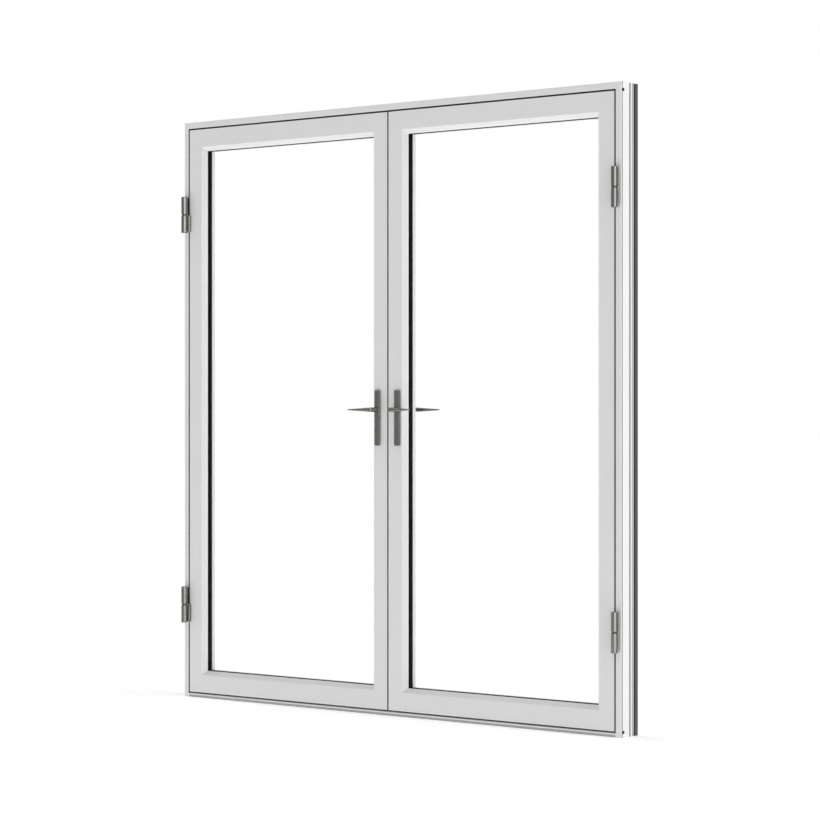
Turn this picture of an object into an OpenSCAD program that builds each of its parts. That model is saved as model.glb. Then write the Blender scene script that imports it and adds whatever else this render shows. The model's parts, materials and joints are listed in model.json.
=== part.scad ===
// Glazed double swing door with its frame.
// Both leaves open towards -Y. Millimetres, +Z up, +X to the right seen from the front,
// +Y into the wall. The origin is under the middle of the threshold.

/* [Frame] */
// Overall width of the frame
frame_w = 1990; // [1500:10:2400]
// Overall height of the frame
frame_h = 2090; // [1900:10:2400]
// Width of the frame's front face beside the leaves
frame_face = 23; // [20:0.5:40]
// How far the stop reaches in behind the leaves
stop_lap = 22; // [16:1:40]
// Depth of the stop behind the leaves
stop_d = 30; // [28:1:60]
// Rounding of the frame's outer front edge
frame_edge_r = 4; // [2.5:0.5:5.5]
// Shadow gap round the leaves and between them
gap = 4.5; // [4:0.5:8]
// Space between a leaf's back and the stop
seal_gap = 4; // [3:0.5:8]
// Width of the weather seal on the stop
seal_w = 8; // [6:0.5:12]

/* [Frame side] */
// Distance from the front to the groove in the frame's outer side
groove_at = 41; // [30:1:42]
// Width of that groove
groove_w = 9; // [5:0.5:10]
// Depth of that groove
groove_deep = 3; // [2:0.5:8]
// Width of the rib behind the groove
rib_w = 6; // [3:0.5:6]
// How far the band behind the rib is set in
band_in = 2; // [0.5:0.5:3]
// Width of the rear lining strip, along the frame's depth
strip_w = 22; // [10:1:24]
// Thickness of the rear lining strip
strip_t = 12; // [6:1:18]
// How far the ends of a rear lining strip stay clear of the frame's ends
strip_inset = 1.5; // [0.5:0.5:10]
// Radius of the black plugs in the frame's outer sides
plug_r = 5.7; // [3:0.1:7]
// Length of a plug
plug_len = 8; // [4:0.5:12]
// How far a plug sits below the surface
plug_sunk = 0.8; // [0.2:0.1:2]
// Distance from the front to the plugs
plug_at = 11; // [9:0.5:20]
// Distance of the upper plugs from the top
plug_top = 25.5; // [15:0.5:60]
// Distance of the lower plugs from the floor
plug_bottom = 17.5; // [10:0.5:60]

/* [Threshold] */
// Height of the dark base under the threshold
sill_base_h = 8.5; // [8:0.5:20]
// How far the base is set back behind the front
sill_recess = 4; // [1:0.5:12]
// Thickness of the threshold plate
sill_plate_h = 5.5; // [4:0.5:12]
// Height of the threshold's stop above its plate
sill_stop_h = 18; // [16:1:40]

/* [Leaf] */
// Width of the flat face of a stile
stile_face = 61; // [58:0.5:90]
// Width of the flat face of a rail
rail_face = 64; // [50:0.5:120]
// Width and depth of the bevel beside the glass
bevel = 12.5; // [10:0.5:16]
// Width of the steep lip below the bevel
lip_w = 2.5; // [2:0.5:5]
// Depth of that lip
lip_d = 5.5; // [3:0.5:8]
// Thickness of the metal cladding
clad_t = 1.8; // [1.2:0.1:2]
// How far the cladding turns back along the sides
clad_return = 6; // [5:0.5:8]

/* [Glazing] */
// Thickness of a pane
pane_t = 4; // [3:0.5:6]
// Space between the panes
cavity = 12; // [10:1:20]
// Thickness of the outer gasket
gasket_t = 2; // [1.5:0.5:4]
// How far the gasket shows past the lip
gasket_show = 1.2; // [0.5:0.1:3]
// Thickness of the inner glazing tape
tape_t = 2; // [1:0.5:4]
// Depth of the glazing beads
bead_d = 14; // [10:0.5:25]
// Chamfer on the beads' room-side edge
bead_chamfer = 3; // [1:0.5:6]
// How far the lip covers the edge of the glass
edge_cover = 12; // [10:0.5:13]
// Space between the glass and the rebate, filled by the blocks
glass_gap = 4; // [3:0.5:5]
// Length of a glazing block
block_len = 100; // [50:5:150]

/* [Hinges] */
// Radius of the knuckles
hinge_r = 11; // [9.5:0.5:12]
// Height of a hinge
hinge_h = 130; // [90:2:180]
// Space between the two knuckles
hinge_waist = 5; // [2:0.5:8]
// Hinge axis, from the middle of the gap towards the frame
hinge_off = 9.5; // [8:0.5:12]
// Hinge axis, in front of the face
hinge_out = 15.8; // [14:0.1:20]
// Distance of the hinges' middles from the top and the bottom of the frame
hinge_from_end = 336; // [200:2:500]
// How far the leaf's half lies on the leaf's face
hinge_foot = 8; // [4:0.5:14]
// Thickness of the arm that joins it to its knuckle
hinge_arm_t = 9.5; // [6:0.5:12]
// Thickness of the flanges let into the edges
flange_t = 2.5; // [2:0.5:3.5]
// Depth of those flanges
flange_d = 35; // [20:1:45]
// Radius of the hinge pins
pin_r = 6; // [4:0.5:7]

/* [Handles] */
// Spindle, from the leaf's meeting edge
backset = 43; // [41:0.5:46]
// Spindle, above the floor
handle_z = 1045; // [900:5:1200]
// Width of a handle plate
plate_w = 24; // [23:0.5:28]
// Height of a handle plate
plate_h = 190; // [180:2:240]
// Thickness of a handle plate at its crown
plate_t = 10; // [8:0.5:12]
// How much thinner a plate is at its long edges
plate_crown = 4; // [2:0.5:5]
// Rounding of a plate's corners
plate_corner = 5; // [2:0.5:8]
// Bevel at a plate's two ends
plate_bevel = 3; // [1:0.5:4]
// How far a plate reaches above the spindle
plate_above = 67; // [50:1:90]
// Radius of the collar round the lever's neck
collar_r = 11; // [10:0.5:11.5]
// Height of the collar above the plate
collar_h = 3; // [1:0.5:6]
// Radius of the lever's neck
neck_r = 8; // [7:0.5:9]
// Front of the lever's hub, from the leaf's face
hub_out = 46; // [40:1:60]
// Chamfer round the hub's front
hub_chamfer = 4; // [1:0.5:5]
// Length of a lever from the spindle to the tip
lever_len = 97; // [80:1:140]
// Thickness of the lever at its root
lever_root_t = 13; // [8:0.5:14]
// Height of the lever at its tip
lever_tip_h = 4; // [3:0.5:10]
// Thickness of the lever at its tip
lever_tip_t = 6; // [4:0.5:10]
// Middle of the lever's tip, from the leaf's face
lever_tip_out = 48; // [38:0.5:60]
// Side of the square spindle
spindle_s = 8; // [6:0.5:9]
// Radius of the key barrel
barrel_r = 6; // [4:0.5:8]
// Key barrel, below the spindle
barrel_drop = 72; // [60:1:90]

/* [Lock] */
// Thickness of the lock case
case_t = 15; // [13:0.5:17]
// Height of the lock case above the spindle
case_above = 80; // [50:1:120]
// Height of the lock case below the spindle
case_below = 100; // [95:1:140]
// Wall of the lock case behind the spindle's follower
case_wall = 5; // [3:0.5:6]
// Radius of the spindle's follower in the lock case
follower_r = 9; // [8:0.5:9.5]
// Width of the lock's faceplate
faceplate_w = 20; // [18:0.5:24]
// Thickness of the lock's faceplate
faceplate_t = 3; // [2:0.5:4]
// Radius of the round ends of the bolts
bolt_r = 6; // [4:0.5:6]
// Middle of the bolts, from the leaf's meeting edge
bolt_in = 11; // [10:0.5:13]
// Travel of the bolts
bolt_stroke = 14; // [10:0.5:16]
// Length of a bolt's round end
bolt_end = 60; // [40:1:90]
// Thickness of the bolts' flat rods
rod_t = 5; // [3:0.5:6]
// Thickness of the keeper plates
keeper_t = 2; // [1.5:0.5:3]
// Rim of the keeper plates beside the bolt's hole
keeper_rim = 3; // [2:0.5:5]
// Length of the keeper plates
keeper_len = 60; // [40:1:90]

/* [Fits] */
// Running clearance of what turns or slides, on the radius
fit = 0.05; // [0.02:0.01:0.09]
// Clearance between pieces that only lie side by side
side_clear = 0.3; // [0.1:0.1:0.6]

/* [Hidden] */
$fn = 48;
over = 1;                                 // how far a cutting shape runs past what it cuts
side_right = 1;
side_left = -1;

// Depths through a leaf, from its front face
profile_d = bevel + lip_d;
glass_d = profile_d + gasket_t;
glass_unit_t = 2 * pane_t + cavity;
tape_d = glass_d + glass_unit_t;
bead_at = tape_d + tape_t;
leaf_t = bead_at + bead_d;
leaf_mid = leaf_t / 2;

// The frame's depth and width
rebate_d = leaf_t + seal_gap;
frame_d = rebate_d + stop_d;
frame_stop = frame_face + stop_lap;
strip_at = frame_d - strip_w;
rib_end = groove_at + groove_w + rib_w;
sill_top = sill_base_h + sill_plate_h;

// A leaf's size and place; x runs from its meeting edge to its hinged edge
leaf_w = (frame_w - 2 * frame_face - 3 * gap) / 2;
leaf_z = sill_top + gap;
leaf_h = frame_h - frame_face - gap - leaf_z;
spindle_z = handle_z - leaf_z;

// Insets of the glazing from the leaf's edges: [stiles, rails]
face_in = [stile_face, rail_face];
lip_in = face_in + [1, 1] * (bevel + lip_w);
day_in = lip_in + [1, 1] * gasket_show;
pane_in = lip_in - [1, 1] * edge_cover;
rebate_in = pane_in - [1, 1] * glass_gap;

// The back of the cladding's bevel and lip, measured from the bevel's start
bevel_back = [
    [-0.4 * clad_t, clad_t],
    [bevel - clad_t, bevel + 0.4 * clad_t],
    [bevel + lip_w - clad_t, profile_d]
];

// Hinges
axis_x = leaf_w + gap / 2 + hinge_off;
knuckle_h = (hinge_h - hinge_waist) / 2;
arm_h = knuckle_h - 3;
hinge_mids = [hinge_from_end, frame_h - hinge_from_end] - [1, 1] * leaf_z;
frame_half_low = hinge_waist / 2;
leaf_half_low = -hinge_waist / 2 - knuckle_h;
pin_foot_r = pin_r + 2.5;
pin_foot_h = 3;

// Lock and bolts
case_in = backset + follower_r + case_wall;
rod_w = 2 * bolt_r - 4;
channel_w = 2 * bolt_r + 2;
bolt_sunk = 1;                            // how far a drawn bolt stays inside the leaf
guide_h = 20;
rod_reach = 2 * bolt_stroke;              // how far a rod reaches into the lock case
bolt_hole_r = bolt_r + 0.8;
bolt_hole_deep = bolt_stroke - bolt_sunk - gap + 1.5;
keeper_w = 2 * (bolt_r + keeper_rim);
keeper_side = keeper_w / 2;
spindle_out = 28;                         // how far the spindle reaches past each face

// How far the weather seal lies behind the leaf's edge
seal_lap = 2.5;

// The rubber strip in the meeting edge
seal_at = 9;
seal_strip_w = 6;
seal_root_w = 2;
seal_root_d = 4;
seal_lip = gap / 3;

paint_grey = [0.83, 0.83, 0.83];
paint_white = [0.93, 0.93, 0.92];
rubber_black = [0.04, 0.04, 0.04];
metal_grey = [0.42, 0.41, 0.38];
steel = [0.7, 0.7, 0.7];
strip_grey = [0.35, 0.35, 0.35];
clear_glass = [0.85, 0.92, 0.92, 0.35];

// Shared shapes

// Puts a leaf's own coordinates into place: x from the meeting edge, y from the front, z from its foot
module in_leaf(side) {
    mirror([side < 0 ? 1 : 0, 0, 0])
        translate([gap / 2, -frame_d / 2, leaf_z])
            children();
}

// Puts a jamb's own coordinates into place: x from the outer side inwards, y from the front
module in_jamb(side) {
    mirror([side > 0 ? 1 : 0, 0, 0])
        translate([-frame_w / 2, -frame_d / 2, 0])
            children();
}

// A block between two corners
module block(low, high) {
    translate(low) cube(high - low);
}

// A straight bar along +X whose 2D profile is drawn as [height, depth]
module bar(length) {
    rotate([0, 90, 0])
        linear_extrude(length)
            mirror([1, 0])
                children();
}

// A bar cut at 45 degrees at both ends, with a small joint left there
module mitred_bar(length, width, depth, joint = 0) {
    intersection() {
        bar(length) children();
        translate([0, depth + over, 0])
            rotate([90, 0, 0])
                linear_extrude(depth + 2 * over)
                    polygon([
                        [joint - over, -over],
                        [length - joint + over, -over],
                        [length - joint - width - over, width + over],
                        [joint + width + over, width + over]
                    ]);
    }
}

// Four mitred bars round an opening; width is the profile's height
module mitred_ring(w, h, width, depth, joint = 0) {
    mitred_bar(w, width, depth, joint) children();
    translate([0, 0, h]) mirror([0, 0, 1]) mitred_bar(w, width, depth, joint) children();
    mirror([1, 0, 0]) rotate([0, -90, 0]) mitred_bar(h, width, depth, joint) children();
    translate([w, 0, 0]) rotate([0, -90, 0]) mitred_bar(h, width, depth, joint) children();
}

// A flat ring in a leaf between two insets, from one depth to another
module leaf_ring(outer, inner, from, to) {
    difference() {
        leaf_slab(outer, from, to);
        leaf_slab(inner, from - over, to + over);
    }
}

// A slab in a leaf, inset from its edges
module leaf_slab(inset, from, to) {
    block([inset[0], from, inset[1]], [leaf_w - inset[0], to, leaf_h - inset[1]]);
}

// The points of a quarter circle round a corner, from one angle to another
function arc(centre, r, from, to, steps = 6) =
    [for (i = [0 : steps]) centre + r * [cos(from + (to - from) * i / steps),
                                         sin(from + (to - from) * i / steps)]];

// Frame

// The frame's section in timber: across from the outer side, and back from the front
module frame_section() {
    polygon([
        [clad_t, clad_return], [clad_t, frame_edge_r], [frame_edge_r, clad_t], [frame_face, clad_t],
        [frame_face, rebate_d], [frame_stop, rebate_d], [frame_stop, frame_d], [strip_t, frame_d],
        [strip_t, strip_at], [band_in, strip_at], [band_in, rib_end], [0, rib_end],
        [0, groove_at + groove_w], [groove_deep, groove_at + groove_w], [groove_deep, groove_at],
        [0, groove_at], [0, clad_return]
    ]);
}

// The cladding's section on the frame: a front plate with a rounded edge and a short return
module frame_cladding_section() {
    centre = [1, 1] * frame_edge_r;
    polygon(concat(
        [[0, clad_return]],
        arc(centre, frame_edge_r, 180, 270),
        [[frame_face, 0], [frame_face, clad_t]],
        arc(centre, frame_edge_r - clad_t, 270, 180),
        [[clad_t, clad_return]]
    ));
}

// The screw holes that the plugs close
module plug_holes() {
    for (z = [plug_bottom, frame_h - plug_top])
        translate([-over, plug_at, z])
            rotate([0, 90, 0])
                cylinder(r = plug_r, h = over + plug_sunk + plug_len);
}

// The room that the head's cladding takes at the top of a jamb
module head_cladding_seat() {
    translate([-over, 0, frame_h])
        mirror([0, 0, 1])
            bar(frame_stop + 2 * over)
                polygon([
                    [-over, -over], [frame_edge_r, -over], [frame_edge_r, clad_t],
                    [clad_t, frame_edge_r], [clad_t, clad_return], [-over, clad_return]
                ]);
}

module jamb(side) {
    color(paint_white)
        difference() {
            in_jamb(side)
                difference() {
                    linear_extrude(frame_h) frame_section();
                    head_cladding_seat();
                    plug_holes();
                }
            in_leaf(side) flange_seats(leaf_w + gap, frame_half_low);
        }
}

module head() {
    color(paint_white)
        difference() {
            translate([-frame_w / 2, -frame_d / 2, frame_h])
                mirror([0, 0, 1])
                    bar(frame_w) frame_section();
            for (side = [side_left, side_right]) {
                in_jamb(side) jamb_space();
                in_leaf(side) bolt_hole(leaf_h + gap, 1);
                in_leaf(side) keeper_seat(leaf_h + gap);
            }
        }
}

// The room that a jamb takes at the ends of the head
module jamb_space() {
    block([-over, -over, -over], [frame_face, rebate_d, frame_h + over]);
    block([-over, rebate_d - over, -over], [frame_stop, frame_d + over, frame_h + over]);
}

// A bolt's hole above the head's underside or below the threshold's top
module bolt_hole(z, way) {
    translate([bolt_in, leaf_mid, z])
        mirror([0, 0, way < 0 ? 1 : 0])
            translate([0, 0, -over])
                cylinder(r = bolt_hole_r, h = bolt_hole_deep + over);
}

// The recess of a keeper plate, with one flat side at the given height
module keeper_seat(z) {
    way = z > 0 ? 1 : -1;
    zs = [z - way * over, z + way * keeper_t];
    block([bolt_in - keeper_side, leaf_mid - keeper_w / 2, min(zs)],
          [bolt_in - keeper_side + keeper_len, leaf_mid + keeper_w / 2, max(zs)]);
}

module frame_cladding() {
    color(paint_grey)
        difference() {
            union() {
                for (side = [side_left, side_right])
                    in_jamb(side)
                        difference() {
                            linear_extrude(frame_h) frame_cladding_section();
                            corner_cut();
                            plug_holes();
                        }
                difference() {
                    translate([-frame_w / 2, -frame_d / 2, frame_h])
                        mirror([0, 0, 1])
                            bar(frame_w) frame_cladding_section();
                    for (side = [side_left, side_right])
                        in_jamb(side) corner_cut(true);
                }
            }
            for (side = [side_left, side_right])
                in_leaf(side) flange_seats(leaf_w + gap, frame_half_low);
        }
}

// The half-space beyond the 45 degree joint between the head's and a jamb's cladding
module corner_cut(head_side = false) {
    reach = frame_face + over;
    low = [reach, frame_h - reach];
    high = [-over, frame_h + over];
    third = head_side ? [-over, frame_h - reach] : [reach, frame_h + over];
    translate([0, clad_return + over, 0])
        rotate([90, 0, 0])
            linear_extrude(clad_return + 2 * over)
                polygon([low, high, third]);
}

// The plan of what lies between the jambs, from a given depth to the back
module sill_plan(from) {
    half_front = frame_w / 2 - frame_face;
    half_back = frame_w / 2 - frame_stop;
    polygon([
        [-half_front, from], [half_front, from], [half_front, rebate_d], [half_back, rebate_d],
        [half_back, frame_d], [-half_back, frame_d], [-half_back, rebate_d], [-half_front, rebate_d]
    ]);
}

module threshold() {
    nose = 1.5;
    slope = 4;
    color(paint_grey)
        difference() {
            intersection() {
                translate([0, -frame_d / 2, 0]) linear_extrude(sill_top + sill_stop_h) sill_plan(0);
                translate([-frame_w / 2, -frame_d / 2, 0])
                    bar(frame_w)
                        polygon([
                            [sill_base_h, 0], [sill_top - nose, 0], [sill_top, nose],
                            [sill_top, rebate_d], [sill_top + sill_stop_h, rebate_d],
                            [sill_top + sill_stop_h, frame_d - slope],
                            [sill_top + sill_stop_h - slope, frame_d], [sill_base_h, frame_d]
                        ]);
            }
            for (side = [side_left, side_right]) {
                in_leaf(side) bolt_hole(-gap, -1);
                in_leaf(side) keeper_seat(-gap);
            }
        }
}

module threshold_base() {
    color(paint_grey)
        difference() {
            translate([0, -frame_d / 2, 0]) linear_extrude(sill_base_h) sill_plan(sill_recess);
            for (side = [side_left, side_right])
                in_leaf(side) bolt_hole(-gap, -1);
        }
}

// The rear lining strips: a low rib runs along the middle of each
module strip_section() {
    rib = strip_w / 3;
    edge = 2;
    polygon([
        [edge, strip_at], [0, strip_at + rib], [0, frame_d - rib], [edge, frame_d],
        [strip_t, frame_d], [strip_t, strip_at]
    ]);
}

module rear_strips() {
    half = frame_w / 2 - frame_stop;
    color(strip_grey) {
        for (side = [side_left, side_right])
            in_jamb(side)
                translate([0, 0, strip_inset])
                    linear_extrude(frame_h - 2 * strip_inset) strip_section();
        translate([-half, -frame_d / 2, frame_h])
            mirror([0, 0, 1])
                bar(2 * half) strip_section();
    }
}

// The weather seal on the stop, all round the doorway
module frame_seal() {
    tip = seal_w / 5;
    step = (seal_gap - side_clear) / 3;
    color(rubber_black)
        translate([0, leaf_t + side_clear - frame_d / 2, 0]) {
            seal_ring(0, step, seal_gap - side_clear);
            seal_ring(tip, 0, step + fit);
        }
}

// A ring of the seal, thinner by the inset on both sides, from one depth to another
module seal_ring(inset, from, to) {
    side_in = frame_face + gap + seal_lap + inset;
    low = leaf_z + seal_lap + inset;
    width = seal_w - 2 * inset;
    difference() {
        block([side_in - frame_w / 2, from, low], [frame_w / 2 - side_in, to, frame_h - side_in]);
        block([side_in + width - frame_w / 2, from - over, low + width],
              [frame_w / 2 - side_in - width, to + over, frame_h - side_in - width]);
    }
}

module corner_plugs() {
    color(rubber_black)
        for (side = [side_left, side_right], z = [plug_bottom, frame_h - plug_top])
            in_jamb(side)
                translate([plug_sunk, plug_at, z])
                    rotate([0, 90, 0])
                        cylinder(r = plug_r - fit, h = plug_len);
}

// Hinges: the frame's knuckle is the upper one and holds the pin, the leaf's knuckle turns below it

// The seats of the flanges in an edge at x: on the frame's side beyond it, on the leaf's side before it
module flange_seats(x, low) {
    inner = x > leaf_w ? x : x - flange_t;
    arm_low = low < 0 ? low + knuckle_h - arm_h : low;
    for (mid = hinge_mids)
        block([inner, -over, mid + arm_low], [inner + flange_t, flange_d, mid + arm_low + arm_h]);
}

// A knuckle with its bore, and an arm and a flange whose plan is drawn from the hinge axis
module hinge_half(low, bore_r) {
    arm_low = low < 0 ? low + knuckle_h - arm_h : low;
    chamfer = 1.2;
    difference() {
        union() {
            translate([0, 0, low])
                rotate_extrude()
                    polygon([
                        [0, 0], [hinge_r - chamfer, 0], [hinge_r, chamfer],
                        [hinge_r, knuckle_h - chamfer], [hinge_r - chamfer, knuckle_h], [0, knuckle_h]
                    ]);
            translate([0, 0, arm_low]) linear_extrude(arm_h) children();
        }
        translate([0, 0, low - over]) cylinder(r = bore_r, h = knuckle_h + 2 * over);
    }
}

module frame_hinges() {
    edge = hinge_off - gap / 2;
    heel = 4;
    color(metal_grey)
        for (side = [side_left, side_right], mid = hinge_mids)
            in_leaf(side)
                translate([axis_x, -hinge_out, mid])
                    hinge_half(frame_half_low, pin_r + fit)
                        polygon([
                            [-edge + 1, 0], [-edge, hinge_out], [-edge, hinge_out + flange_d],
                            [-edge + flange_t, hinge_out + flange_d], [-edge + flange_t, hinge_out],
                            [heel, hinge_out], [heel + 2, 0]
                        ]);
}

module leaf_hinges(side) {
    edge = hinge_off + gap / 2;
    front = hinge_out - hinge_arm_t;
    corner = 1.5;
    color(metal_grey)
        for (mid = hinge_mids)
            in_leaf(side)
                translate([axis_x, -hinge_out, mid])
                    difference() {
                        hinge_half(leaf_half_low, pin_r + fit)
                            polygon([
                                [0, front], [-edge - hinge_foot + corner, front],
                                [-edge - hinge_foot, front + corner], [-edge - hinge_foot, hinge_out],
                                [-edge - flange_t, hinge_out], [-edge - flange_t, hinge_out + flange_d],
                                [-edge, hinge_out + flange_d], [-edge, hinge_out], [0, hinge_r - 2]
                            ]);
                        translate([0, 0, leaf_half_low - over])
                            cylinder(r = pin_foot_r + fit, h = over + pin_foot_h + fit);
                    }
}

// A pin hangs in the frame's knuckle; its collar fills the waist and its foot carries the leaf
module hinge_pins() {
    collar = pin_r + 3;
    low = leaf_half_low;
    color(steel)
        for (side = [side_left, side_right], mid = hinge_mids)
            in_leaf(side)
                translate([axis_x, -hinge_out, mid])
                    rotate_extrude()
                        polygon([
                            [0, low], [pin_foot_r, low], [pin_foot_r, low + pin_foot_h],
                            [pin_r, low + pin_foot_h], [pin_r, fit - hinge_waist / 2],
                            [collar, fit - hinge_waist / 2], [collar, hinge_waist / 2 - fit],
                            [pin_r, hinge_waist / 2 - fit], [pin_r, -low - fit], [0, -low - fit]
                        ]);
}

module bolt_keepers() {
    lift = keeper_t;
    color(steel)
        for (side = [side_left, side_right], z = [leaf_h + gap, -gap - lift])
            in_leaf(side)
                difference() {
                    block([bolt_in - keeper_side, leaf_mid - keeper_w / 2, z],
                          [bolt_in - keeper_side + keeper_len, leaf_mid + keeper_w / 2, z + keeper_t]);
                    translate([bolt_in, leaf_mid, z - over])
                        cylinder(r = bolt_hole_r, h = keeper_t + 2 * over);
                }
}

// Leaves

// A stile's or rail's section in timber: in from the edge, and back from the front
module timber_section(face, rebate) {
    polygon(concat(
        [[0, leaf_t], [0, clad_return], [clad_t, clad_return], [clad_t, clad_t]],
        [for (p = bevel_back) p + [face, 0]],
        [[rebate, profile_d], [rebate, leaf_t]]
    ));
}

module hinge_stile_solid() {
    translate([leaf_w, 0, 0])
        mirror([1, 0, 0])
            linear_extrude(leaf_h) timber_section(stile_face, rebate_in[0]);
}

module lock_stile_solid() {
    linear_extrude(leaf_h) timber_section(stile_face, rebate_in[0]);
}

// The cladding's return along the top and bottom ends of a stile
module end_returns() {
    for (z = [-over, leaf_h - clad_t])
        block([-over, -over, z], [leaf_w + over, clad_return, z + clad_t + over]);
}

module hinge_stile(side) {
    color(paint_white)
        in_leaf(side)
            difference() {
                hinge_stile_solid();
                end_returns();
                flange_seats(leaf_w, leaf_half_low);
            }
}

module lock_stile(side) {
    color(paint_white)
        in_leaf(side)
            difference() {
                lock_stile_solid();
                end_returns();
                lock_space();
                seal_groove();
            }
}

// The room for the lock: case, faceplate, the bolts' channel and the holes through the stile
module lock_space() {
    block([-over, leaf_mid - case_t / 2, spindle_z - case_below],
          [case_in, leaf_mid + case_t / 2, spindle_z + case_above]);
    block([-over, leaf_mid - faceplate_w / 2, -over],
          [faceplate_t, leaf_mid + faceplate_w / 2, leaf_h + over]);
    block([-over, leaf_mid - channel_w / 2, -over],
          [bolt_in + channel_w / 2, leaf_mid + channel_w / 2, leaf_h + over]);
    handle_holes();
}

// The holes for the spindle and the key barrel, right through the leaf
module handle_holes() {
    for (hole = [[0, follower_r + 1], [-barrel_drop, barrel_r + 0.5]])
        translate([backset, -over, spindle_z + hole[0]])
            rotate([-90, 0, 0])
                cylinder(r = hole[1], h = leaf_t + 2 * over);
}

// The groove of the seal in the meeting edge
module seal_groove() {
    mid = seal_at + seal_strip_w / 2;
    block([-over, mid - seal_root_w / 2, -over], [seal_root_d, mid + seal_root_w / 2, leaf_h + over]);
}

// A rail lies between the stiles and is scribed over them
module rail(side, top) {
    color(paint_white)
        in_leaf(side)
            difference() {
                translate([0, 0, top ? leaf_h : 0])
                    mirror([0, 0, top ? 1 : 0])
                        bar(leaf_w) timber_section(rail_face, rebate_in[1]);
                hinge_stile_solid();
                lock_stile_solid();
                for (x = [-over, leaf_w - clad_t])
                    block([x, -over, -over], [x + clad_t + over, clad_return, leaf_h + over]);
            }
}

module top_rail(side) { rail(side, true); }

module bottom_rail(side) { rail(side, false); }

// A dish round the middle of a leaf: the same slopes run along its four sides and meet at the corners.
// The points are the slope's, measured in from each face's inner edge.
module leaf_dish(points) {
    intersection() {
        linear_extrude(leaf_h) dish_section(leaf_w, [for (p = points) p + [face_in[0], 0]]);
        bar(leaf_w) dish_section(leaf_h, [for (p = points) p + [face_in[1], 0]]);
    }
}

// The dish's section across a width, the same from both sides
module dish_section(width, points) {
    polygon(concat(points, [for (i = [len(points) - 1 : -1 : 0]) [width - points[i][0], points[i][1]]]));
}

// The cladding: a front plate, a return round the outside and a bevelled lip round the glass
module leaf_cladding(side) {
    front = [[0, -over], [0, 0], [bevel, bevel], [bevel + lip_w, profile_d],
             [bevel + lip_w, profile_d + over]];
    color(paint_grey)
        in_leaf(side)
            difference() {
                union() {
                    leaf_ring([0, 0], face_in - [1, 1] * clad_t, 0, clad_t);
                    leaf_ring([0, 0], [1, 1] * clad_t, 0, clad_return);
                    leaf_dish(concat([[-2 * clad_t, 0], [-2 * clad_t, clad_t]], bevel_back));
                }
                leaf_dish(front);
                flange_seats(leaf_w, leaf_half_low);
                handle_holes();
            }
}

module outer_pane(side) {
    color(clear_glass) in_leaf(side) leaf_slab(pane_in, glass_d, glass_d + pane_t);
}

module inner_pane(side) {
    color(clear_glass) in_leaf(side) leaf_slab(pane_in, tape_d - pane_t, tape_d);
}

module pane_spacer(side) {
    color(rubber_black)
        in_leaf(side) leaf_ring(pane_in + [1, 1], day_in, glass_d + pane_t, tape_d - pane_t);
}

module glazing_gasket(side) {
    color(rubber_black)
        in_leaf(side) leaf_ring(pane_in + [1, 1] * 2, day_in, profile_d, glass_d);
}

module glazing_tape(side) {
    color(paint_white)
        in_leaf(side) leaf_ring(pane_in + [1, 1] * 2, day_in, tape_d, bead_at);
}

// Four mitred beads hold the glass from the room's side
module glazing_beads(side) {
    width = day_in[0] - rebate_in[0];
    color(paint_white)
        in_leaf(side)
            translate([rebate_in[0], bead_at, rebate_in[1]])
                mitred_ring(leaf_w - 2 * rebate_in[0], leaf_h - 2 * rebate_in[1], width, bead_d, fit)
                    polygon([
                        [0, 0], [width, 0], [width, bead_d - bead_chamfer],
                        [width - bead_chamfer, bead_d], [0, bead_d]
                    ]);
}

// Blocks under the glass and beside it
module glazing_blocks(side) {
    quarter = leaf_w / 4;
    color(rubber_black)
        in_leaf(side) {
            for (x = [quarter, leaf_w - quarter])
                block([x - block_len / 2, glass_d, rebate_in[1]],
                      [x + block_len / 2, tape_d, pane_in[1]]);
            block([leaf_w - pane_in[0], glass_d, quarter],
                  [leaf_w - rebate_in[0], tape_d, quarter + block_len]);
            block([rebate_in[0], glass_d, leaf_h - quarter - block_len],
                  [pane_in[0], tape_d, leaf_h - quarter]);
        }
}

// A low rubber strip with its root in the meeting edge
module meeting_seal(side) {
    mid = seal_at + seal_strip_w / 2;
    end = 3;
    color(rubber_black)
        in_leaf(side)
            translate([0, 0, end])
                linear_extrude(leaf_h - 2 * end)
                    polygon([
                        [0, seal_at], [-seal_lip, mid - 1], [-seal_lip, mid + 1], [0, seal_at + seal_strip_w],
                        [0, mid + seal_root_w / 2], [seal_root_d, mid + seal_root_w / 2],
                        [seal_root_d, mid - seal_root_w / 2], [0, mid - seal_root_w / 2]
                    ]);
}

// Lock, bolts and handles

module lock_case(side) {
    slot_w = rod_t + 2 * side_clear;
    slot_from = bolt_in - rod_w / 2 - side_clear;
    color(steel)
        in_leaf(side)
            difference() {
                block([faceplate_t, leaf_mid - case_t / 2, spindle_z - case_below],
                      [case_in, leaf_mid + case_t / 2, spindle_z + case_above]);
                block([slot_from, leaf_mid - slot_w / 2, spindle_z - case_below - over],
                      [slot_from + rod_w + 2 * side_clear, leaf_mid + slot_w / 2,
                       spindle_z + case_above + over]);
                for (hole = [[0, follower_r + fit], [-barrel_drop, barrel_r + fit]])
                    translate([backset, 0, spindle_z + hole[0]])
                        rotate([-90, 0, 0])
                            cylinder(r = hole[1], h = leaf_t);
            }
}

// The faceplate in the meeting edge, with a guide for each bolt at its ends
module lock_faceplate(side) {
    color(steel)
        in_leaf(side)
            difference() {
                union() {
                    block([0, leaf_mid - faceplate_w / 2, 0],
                          [faceplate_t, leaf_mid + faceplate_w / 2, leaf_h]);
                    for (z = [0, leaf_h - guide_h])
                        block([0, leaf_mid - channel_w / 2, z],
                              [bolt_in + channel_w / 2, leaf_mid + channel_w / 2, z + guide_h]);
                }
                translate([bolt_in, leaf_mid, -over]) cylinder(r = bolt_r + fit, h = leaf_h + 2 * over);
            }
}

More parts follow.
